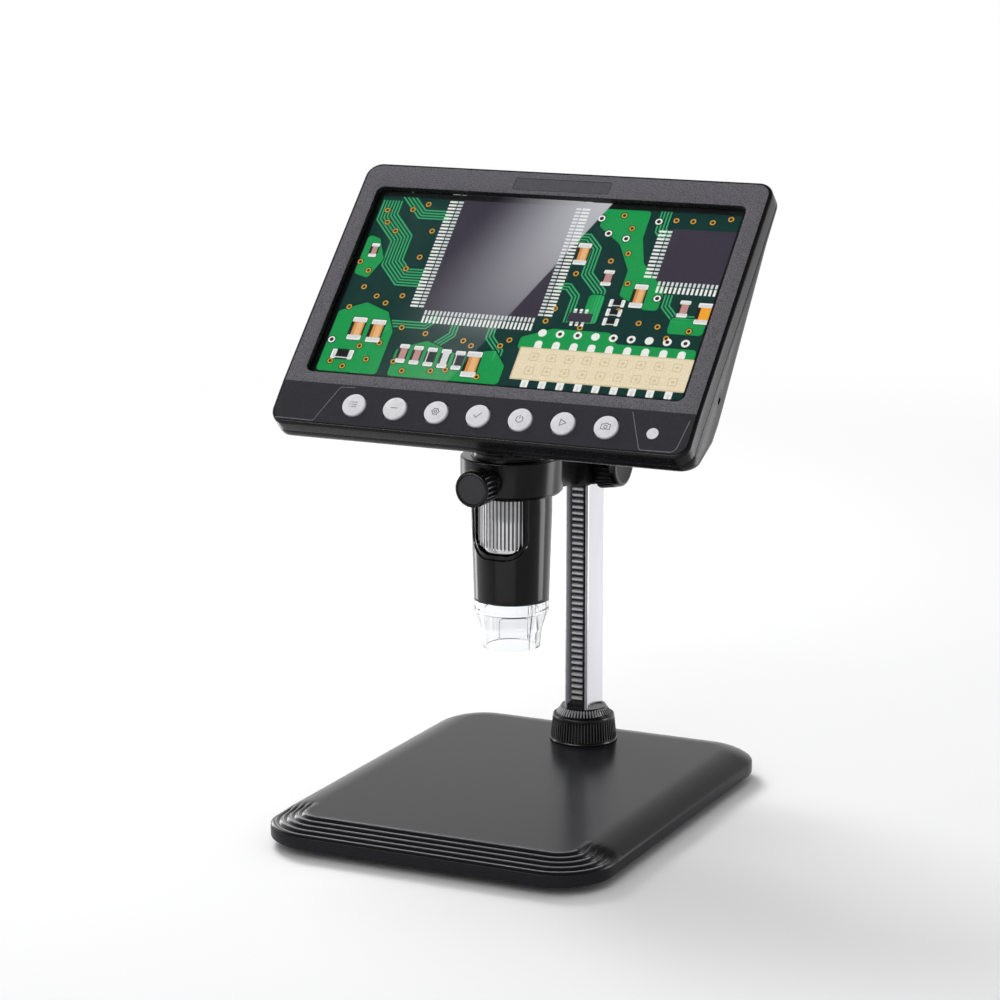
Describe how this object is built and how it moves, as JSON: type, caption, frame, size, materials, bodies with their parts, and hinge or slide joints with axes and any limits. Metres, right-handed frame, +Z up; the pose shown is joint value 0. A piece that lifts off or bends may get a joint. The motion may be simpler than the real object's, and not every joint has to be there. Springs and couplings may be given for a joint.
{
  "type": "lcd digital microscope",
  "caption": "Bench microscope with a tilting display on a camera barrel, held by a rack-and-pinion carriage on a column over a weighted base.",
  "frame": {"origin": "centre of the base footprint, on the bench", "axes": "+Z up, the operator and the display face towards -Y, +X to the operator's right"},
  "size_m": [0.175, 0.1826, 0.2491],
  "materials": {
    "base_black": "fine moulded texture",
    "pan_black": "moulded",
    "case_black": "fine spark-eroded grain",
    "panel_black": "smooth satin",
    "barrel_black": "smooth satin",
    "knob_black": "ribbed grip",
    "rubber_black": "moulded",
    "steel_plate": "pickled",
    "screw_steel": "zinc plated",
    "pin_steel": "ground",
    "column_aluminium": "polished, clear anodised",
    "rack_aluminium": "milled",
    "wheel_chrome": "plated",
    "brass": "turned",
    "nylon": "moulded",
    "clear_plastic": "clear moulded",
    "cover_glass": "polished",
    "lens_glass": "coated",
    "lcd_picture": "lit picture",
    "frame_steel": "galvanised",
    "board_green": "solder mask",
    "battery_wrap": "shrink film",
    "button_white": "smooth",
    "indicator_white": "diffusing",
    "port_steel": "tinned"
  },
  "bodies": {
    "stand": {"base_cover": "base_black", "base_pan": "pan_black", "ballast_plate": "steel_plate", "base_feet": "rubber_black", "base_screws": "screw_steel", "column_socket": "base_black", "column_bolt": "screw_steel", "column": "column_aluminium", "rack": "rack_aluminium", "column_cap": "knob_black", "column_collet": "knob_black"},
    "lock_collar": {"lock_collar": "knob_black"},
    "carriage": {"carriage_block": "barrel_black", "slide_bushes": "nylon", "holder_arm": "barrel_black", "arm_screws": "screw_steel", "clamp_insert": "brass"},
    "pinion": {"pinion": "brass", "pinion_shaft": "pin_steel", "focus_knob_right": "knob_black", "focus_knob_left": "knob_black"},
    "clamp": {"clamp_screw": "pin_steel", "clamp_knob": "knob_black"},
    "barrel": {"barrel_shell": "barrel_black", "barrel_head": "barrel_black", "sensor_holder": "barrel_black", "sensor_board": "board_green", "led_board": "board_green"},
    "focus_wheel": {"focus_wheel": "wheel_chrome"},
    "lens": {"lens_carrier": "barrel_black", "objective_lens": "lens_glass", "lens_retainer": "brass"},
    "nose_cap": {"nose_cap": "clear_plastic"},
    "display": {"hinge_bracket": "frame_steel", "hinge_pin": "pin_steel", "hinge_washers": "pin_steel", "display_screws": "screw_steel", "front_bezel": "case_black", "rear_shell": "case_black", "control_panel": "panel_black", "nameplate": "panel_black", "cover_glass": "cover_glass", "lcd_panel": "lcd_picture", "backlight_unit": "frame_steel", "support_frame": "frame_steel", "main_board": "board_green", "battery": "battery_wrap", "usb_port": "port_steel", "card_slot": "port_steel", "button_board": "board_green", "indicator_lens": "indicator_white", "dimmer_pot": "panel_black"},
    "dimmer": {"dimmer_wheel": "knob_black"},
    "button_menu": {"button_menu": "button_white"},
    "button_minus": {"button_minus": "button_white"},
    "button_settings": {"button_settings": "button_white"},
    "button_confirm": {"button_confirm": "button_white"},
    "button_power": {"button_power": "button_white"},
    "button_play": {"button_play": "button_white"},
    "button_camera": {"button_camera": "button_white"}
  },
  "joints": [
    {"name": "height_slide", "type": "slide", "parent": "stand", "child": "carriage", "axis": [0, 0, 1], "range_m": [-0.055, 0.025]},
    {"name": "focus_drive", "type": "hinge", "parent": "carriage", "child": "pinion", "pos_m": [0, 0.05145, 0.1337], "axis": [1, 0, 0], "range_deg": [-300, 660]},
    {"name": "collar_turn", "type": "hinge", "parent": "stand", "child": "lock_collar", "pos_m": [0, 0.0629, 0.018], "axis": [0, 0, 1], "range_deg": [0, 360]},
    {"name": "clamp_turn", "type": "hinge", "parent": "carriage", "child": "clamp", "pos_m": [0, -0.04, 0.1384], "axis": [0, -1, 0], "range_deg": [0, 360]},
    {"name": "head_swivel", "type": "hinge", "parent": "carriage", "child": "barrel", "pos_m": [0, -0.00725, 0.1384], "axis": [0, 0, 1], "range_deg": [-40, 40]},
    {"name": "screen_tilt", "type": "hinge", "parent": "barrel", "child": "display", "pos_m": [0, -0.00725, 0.15695], "axis": [-1, 0, 0], "range_deg": [-8, 16]},
    {"name": "focus_turn", "type": "hinge", "parent": "barrel", "child": "focus_wheel", "pos_m": [0, -0.00725, 0.118], "axis": [0, 0, 1], "range_deg": [-150, 150]},
    {"name": "lens_focus", "type": "slide", "parent": "barrel", "child": "lens", "axis": [0, 0, 1], "range_m": [-0.0027, 0.0027]},
    {"name": "nose_pull", "type": "slide", "parent": "barrel", "child": "nose_cap", "axis": [0, 0, -1], "range_m": [0, 0.02]},
    {"name": "dimmer_turn", "type": "hinge", "parent": "display", "child": "dimmer", "pos_m": [0.0806, -0.0218, 0.16192], "axis": [0, -0.7181, 0.6959], "range_deg": [-135, 135]},
    {"name": "menu_press", "type": "slide", "parent": "display", "child": "button_menu", "axis": [0, 0.7536, -0.6574], "range_m": [0, 0.0008], "stiffness_N_per_m": 900, "springref_m": -0.0008},
    {"name": "minus_press", "type": "slide", "parent": "display", "child": "button_minus", "axis": [0, 0.7536, -0.6574], "range_m": [0, 0.0008], "stiffness_N_per_m": 900, "springref_m": -0.0008},
    {"name": "settings_press", "type": "slide", "parent": "display", "child": "button_settings", "axis": [0, 0.7536, -0.6574], "range_m": [0, 0.0008], "stiffness_N_per_m": 900, "springref_m": -0.0008},
    {"name": "confirm_press", "type": "slide", "parent": "display", "child": "button_confirm", "axis": [0, 0.7536, -0.6574], "range_m": [0, 0.0008], "stiffness_N_per_m": 900, "springref_m": -0.0008},
    {"name": "power_press", "type": "slide", "parent": "display", "child": "button_power", "axis": [0, 0.7536, -0.6574], "range_m": [0, 0.0008], "stiffness_N_per_m": 900, "springref_m": -0.0008},
    {"name": "play_press", "type": "slide", "parent": "display", "child": "button_play", "axis": [0, 0.7536, -0.6574], "range_m": [0, 0.0008], "stiffness_N_per_m": 900, "springref_m": -0.0008},
    {"name": "camera_press", "type": "slide", "parent": "display", "child": "button_camera", "axis": [0, 0.7536, -0.6574], "range_m": [0, 0.0008], "stiffness_N_per_m": 900, "springref_m": -0.0008}
  ],
  "couplings": [
    {"joint": "focus_drive", "follows": "height_slide", "rad_per_m": -208.33},
    {"joint": "lens_focus", "follows": "focus_turn", "m_per_rad": 0.001}
  ]
}
